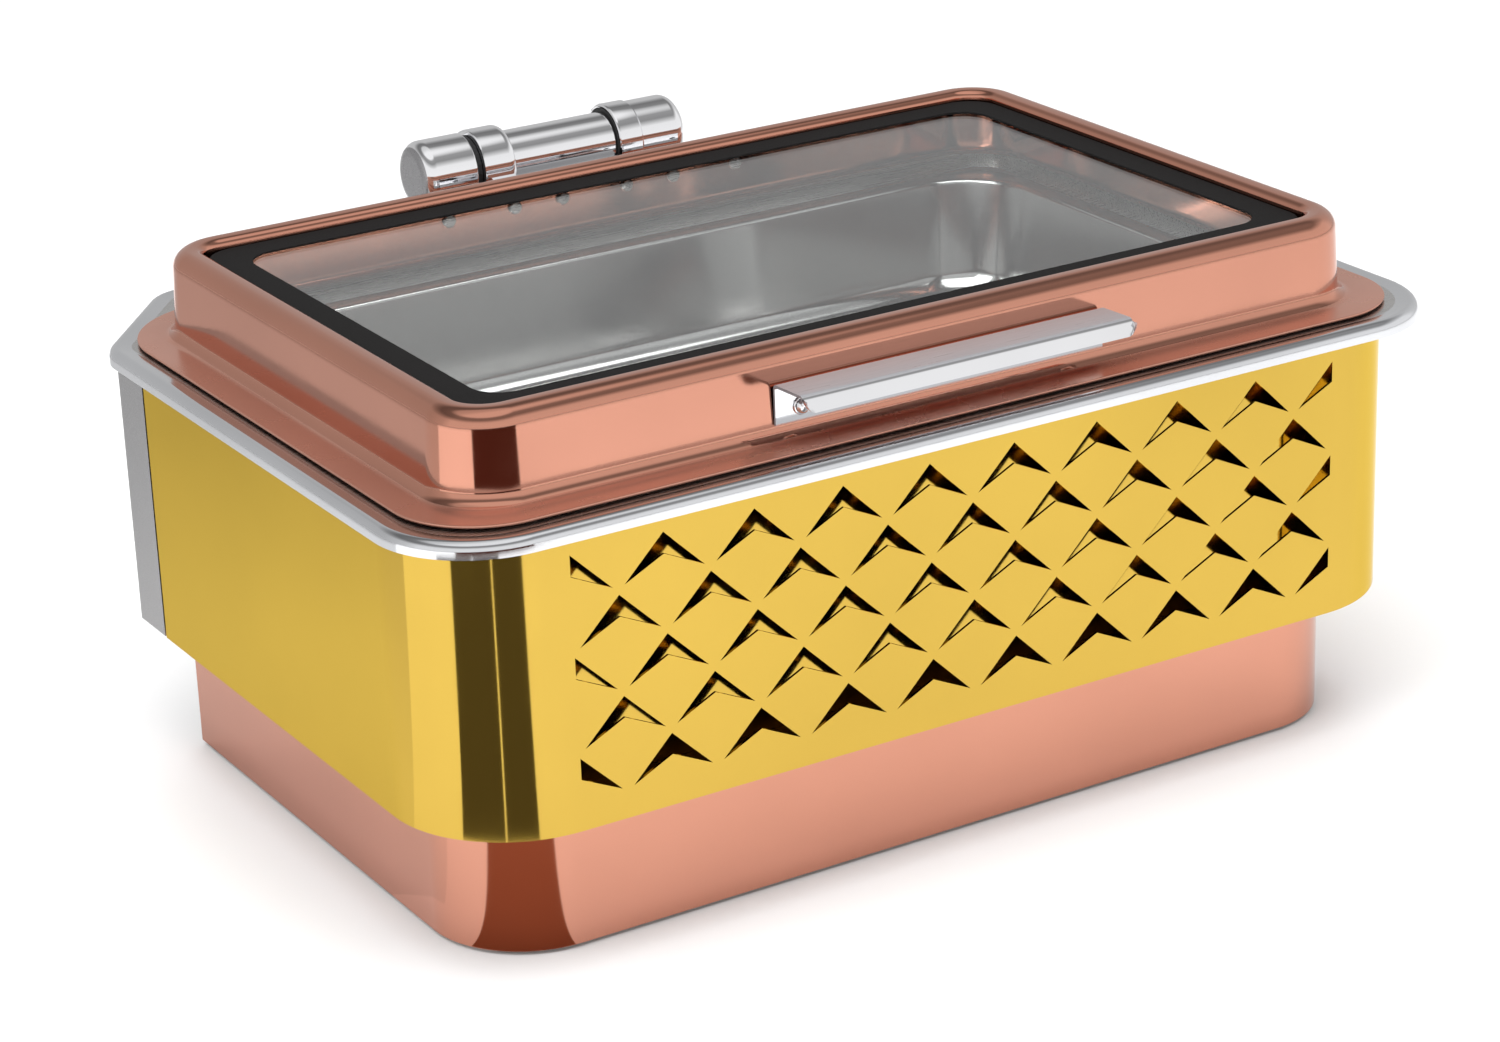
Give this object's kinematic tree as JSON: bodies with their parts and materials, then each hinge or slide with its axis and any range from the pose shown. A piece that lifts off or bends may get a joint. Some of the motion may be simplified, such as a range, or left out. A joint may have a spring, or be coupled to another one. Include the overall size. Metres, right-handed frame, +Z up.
{
  "type": "roll top chafer",
  "caption": "Rectangular buffet chafer with a hinged glass-topped lid, lattice-cut body on a stepped plinth, lift-out pans and rear-loaded fuel cups.",
  "frame": {"origin": "middle of the footprint, on the surface that the feet stand on", "axes": "+X to the right seen from the front, -Y out of the front where the handle is, +Z up"},
  "size_m": [0.62, 0.471, 0.3],
  "materials": {
    "gold_sheet": "gold-toned stainless sheet, polished to a soft mirror",
    "rose_gold_sheet": "rose-gold toned stainless sheet, polished to a soft mirror",
    "polished_steel": "bright polished stainless steel",
    "brushed_steel": "satin brushed stainless steel",
    "hinge_chrome": "mirror chrome on cast metal",
    "seal_black": "matte black silicone",
    "foot_rubber": "matte black rubber",
    "clear_glass": "clear tempered glass with a slight grey tint",
    "bush_plastic": "dark engineering plastic"
  },
  "bodies": {
    "stand": {"plinth_skirt": "rose_gold_sheet", "base_plate": "brushed_steel", "body_shelf": "brushed_steel", "rear_panel": "brushed_steel", "hinge_shaft": "brushed_steel", "pedestal_screw_1": "brushed_steel", "pedestal_screw_2": "brushed_steel", "pedestal_screw_3": "brushed_steel", "pedestal_screw_4": "brushed_steel", "foot_front_left": "foot_rubber", "foot_front_right": "foot_rubber", "foot_rear_left": "foot_rubber", "foot_rear_right": "foot_rubber", "body_skirt": "gold_sheet", "lattice_backing": "gold_sheet", "rim_frame": "polished_steel", "hinge_knuckle_left": "hinge_chrome", "hinge_knuckle_right": "hinge_chrome", "hinge_cap_right": "hinge_chrome"},
    "lid_unit": {"lid_shell": "rose_gold_sheet", "window_glass": "clear_glass", "window_seal": "seal_black", "lid_handle": "hinge_chrome", "handle_washer_left": "hinge_chrome", "handle_washer_right": "hinge_chrome", "handle_screw_left": "hinge_chrome", "handle_screw_right": "hinge_chrome", "handle_nut_left": "brushed_steel", "handle_nut_right": "brushed_steel", "hinge_leaf": "hinge_chrome", "hinge_tube": "hinge_chrome", "hinge_bush_left": "bush_plastic", "hinge_bush_right": "bush_plastic", "hinge_damper": "brushed_steel", "leaf_screw_1": "hinge_chrome", "leaf_screw_2": "hinge_chrome", "leaf_screw_3": "hinge_chrome", "leaf_screw_4": "hinge_chrome", "leaf_screw_5": "hinge_chrome", "leaf_screw_6": "hinge_chrome"},
    "water_pan_unit": {"water_pan": "brushed_steel"},
    "food_pan_unit": {"food_pan": "brushed_steel"},
    "fuel_cup_left_unit": {"fuel_cup_left": "brushed_steel", "snuffer_pin_left": "brushed_steel"},
    "snuffer_left_unit": {"snuffer_left": "brushed_steel"},
    "fuel_cup_right_unit": {"fuel_cup_right": "brushed_steel", "snuffer_pin_right": "brushed_steel"},
    "snuffer_right_unit": {"snuffer_right": "brushed_steel"}
  },
  "joints": [
    {"name": "lid_hinge", "type": "hinge", "parent": "stand", "child": "lid_unit", "pos_m": [0, 0.214, 0.2785], "axis": [-1, 0, 0], "range_deg": [0, 90]},
    {"name": "water_pan_lift", "type": "slide", "parent": "stand", "child": "water_pan_unit", "axis": [0, 0, 1], "range_m": [0, 0.006]},
    {"name": "food_pan_lift", "type": "slide", "parent": "water_pan_unit", "child": "food_pan_unit", "axis": [0, 0, 1], "range_m": [0, 0.025]},
    {"name": "fuel_cup_left_slide", "type": "slide", "parent": "stand", "child": "fuel_cup_left_unit", "axis": [0, 1, 0], "range_m": [0, 0.26]},
    {"name": "snuffer_left_swivel", "type": "hinge", "parent": "fuel_cup_left_unit", "child": "snuffer_left_unit", "pos_m": [-0.135, 0.027, 0.054], "axis": [0, 0, -1], "range_deg": [0, 110]},
    {"name": "fuel_cup_right_slide", "type": "slide", "parent": "stand", "child": "fuel_cup_right_unit", "axis": [0, 1, 0], "range_m": [0, 0.26]},
    {"name": "snuffer_right_swivel", "type": "hinge", "parent": "fuel_cup_right_unit", "child": "snuffer_right_unit", "pos_m": [0.135, 0.027, 0.054], "axis": [0, 0, 1], "range_deg": [0, 110]}
  ]
}
